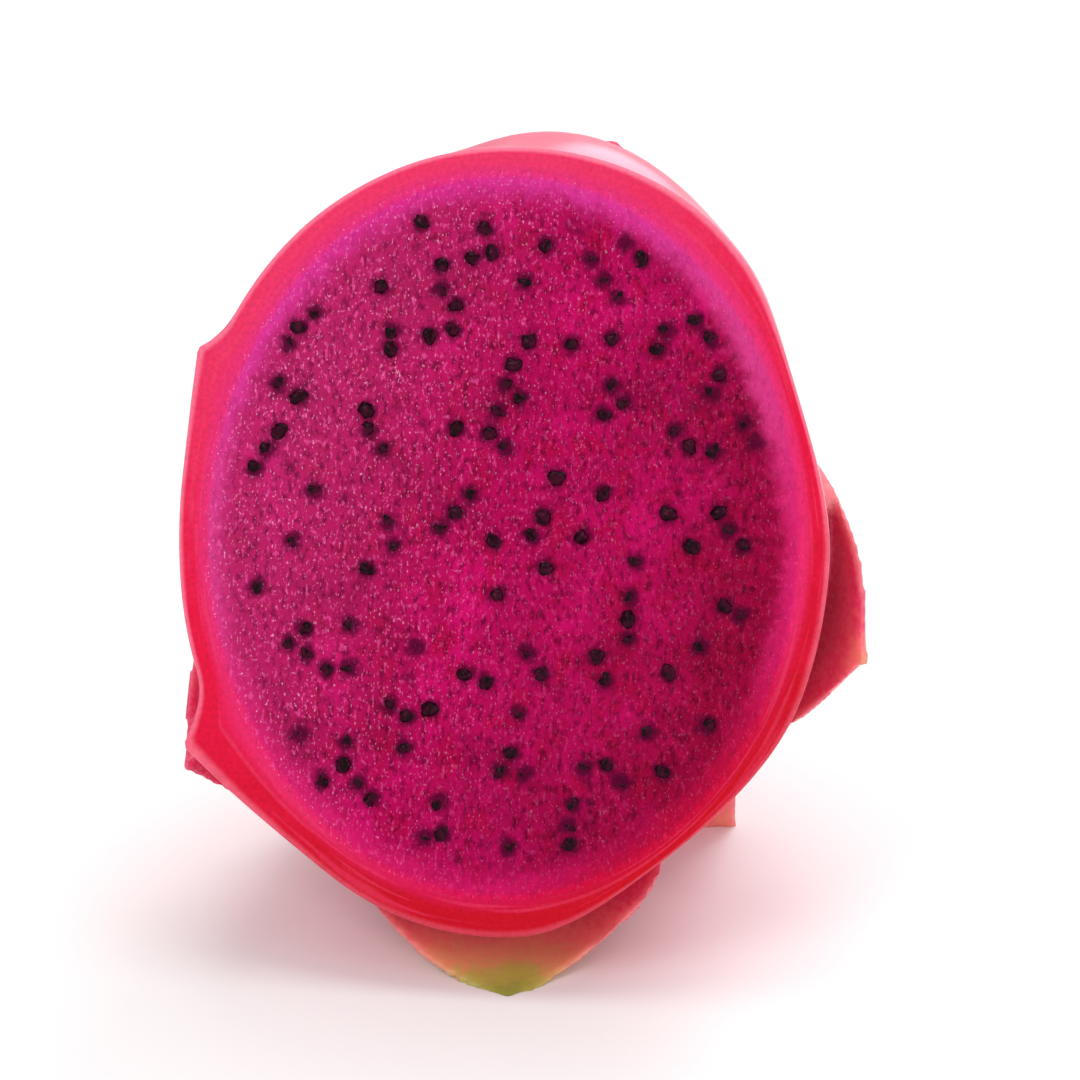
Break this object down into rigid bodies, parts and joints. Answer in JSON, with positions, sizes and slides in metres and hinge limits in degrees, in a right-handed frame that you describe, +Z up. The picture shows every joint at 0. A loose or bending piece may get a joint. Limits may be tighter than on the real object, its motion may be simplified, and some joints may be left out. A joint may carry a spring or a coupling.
{
  "type": "halved dragon fruit",
  "caption": "Half of a red-fleshed dragon fruit cut across, seeded flesh in a scaly peel, leaning back on its scales.",
  "frame": {"origin": "on the ground, below the middle of the fruit's outline", "axes": "+Z up, -Y toward the side that the cut face looks to, +X to the right of someone looking at the cut face"},
  "size_m": [0.0922, 0.0846, 0.106],
  "materials": {
    "skin": "waxy, semi-matte, green toward the tips of the scales",
    "flesh": "wet, translucent, grainy cut flesh with dark glossy seeds",
    "dry_stem": "dry, rough, fibrous"
  },
  "bodies": {
    "root": {"peel": "skin", "flesh": "flesh", "stem_stub": "dry_stem"}
  },
  "joints": []
}
